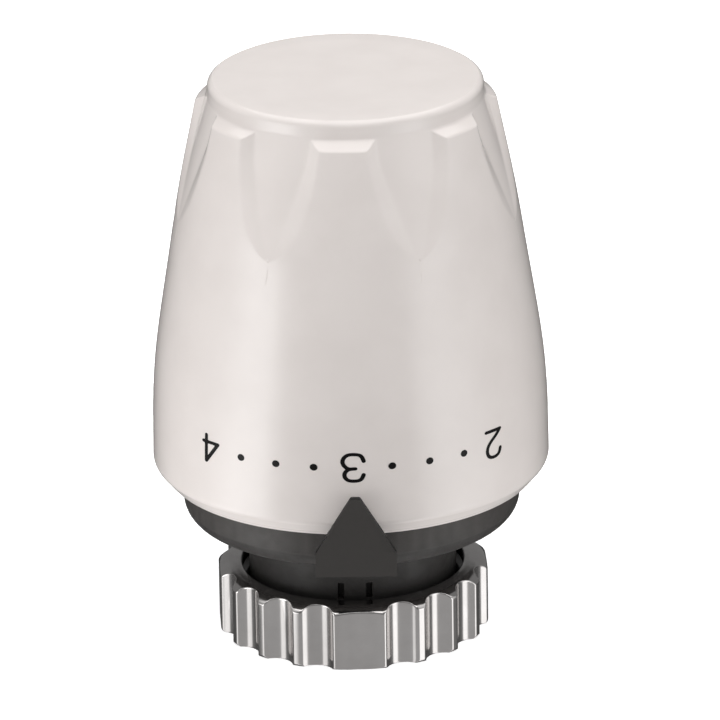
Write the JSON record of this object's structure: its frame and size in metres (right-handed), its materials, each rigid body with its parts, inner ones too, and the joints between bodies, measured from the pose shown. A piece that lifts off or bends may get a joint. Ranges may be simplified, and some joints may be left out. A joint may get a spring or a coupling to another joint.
{
  "type": "thermostatic radiator valve",
  "caption": "Thermostatic radiator valve head: white dial cap with grip grooves, black base with setting pointer, liquid sensor and push rod inside, metal union nut below.",
  "frame": {"origin": "on the head's axis, in the lower rim of the union nut, where the valve's thread enters", "axes": "+Z from the valve towards the end of the cap; the setting pointer faces -Y"},
  "size_m": [0.0518, 0.0535, 0.0755],
  "materials": {
    "cap_white": "glossy white moulded plastic",
    "base_black": "matt black moulded plastic",
    "pointer_black": "satin black moulded plastic",
    "nut_nickel": "nickel-plated, lightly machined",
    "spring_steel": "bright spring steel",
    "inner_plastic": "natural nylon",
    "washer_plastic": "slippery white plastic",
    "sensor_metal": "drawn brass"
  },
  "bodies": {
    "base": {"base_socket": "base_black", "setting_pointer": "pointer_black", "limit_clips": "spring_steel", "retaining_ring": "spring_steel"},
    "nut": {"union_nut": "nut_nickel"},
    "sensor": {"sensor_carrier": "inner_plastic", "sensor_end_plate": "sensor_metal", "sensor_can": "sensor_metal", "sensor_clamp_ring": "spring_steel", "sensor_fill_plug": "sensor_metal", "sensor_bellows": "sensor_metal"},
    "handwheel": {"dial_cap": "cap_white", "threaded_sleeve": "inner_plastic", "sleeve_snap_ring": "spring_steel", "thrust_washer": "washer_plastic"},
    "bellows_end": {"bellows_end_cup": "sensor_metal", "spring_retainer": "spring_steel", "overtravel_spring": "spring_steel"},
    "plunger": {"spring_seat": "spring_steel", "push_rod": "spring_steel", "pressure_piece": "inner_plastic"}
  },
  "joints": [
    {"name": "nut_spin", "type": "hinge", "parent": "base", "child": "nut", "pos_m": [0, 0, 0.0063], "axis": [0, 0, 1], "continuous": true},
    {"name": "sensor_lift", "type": "slide", "parent": "base", "child": "sensor", "axis": [0, 0, 1], "range_m": [-0.00309, 0.00177]},
    {"name": "handwheel_turn", "type": "hinge", "parent": "sensor", "child": "handwheel", "pos_m": [0, 0, 0.04], "axis": [0, 0, 1], "range_deg": [-157.5, 90]},
    {"name": "bellows_stroke", "type": "slide", "parent": "sensor", "child": "bellows_end", "axis": [0, 0, 1], "range_m": [-0.0025, 0.0015], "stiffness_N_per_m": 8000, "deforming": ["sensor_bellows"]},
    {"name": "overtravel", "type": "slide", "parent": "bellows_end", "child": "plunger", "axis": [0, 0, 1], "range_m": [0, 0.002], "stiffness_N_per_m": 15000, "deforming": ["overtravel_spring"]}
  ],
  "couplings": [
    {"joint": "sensor_lift", "follows": "handwheel_turn", "m_per_rad": 0.0011205}
  ]
}
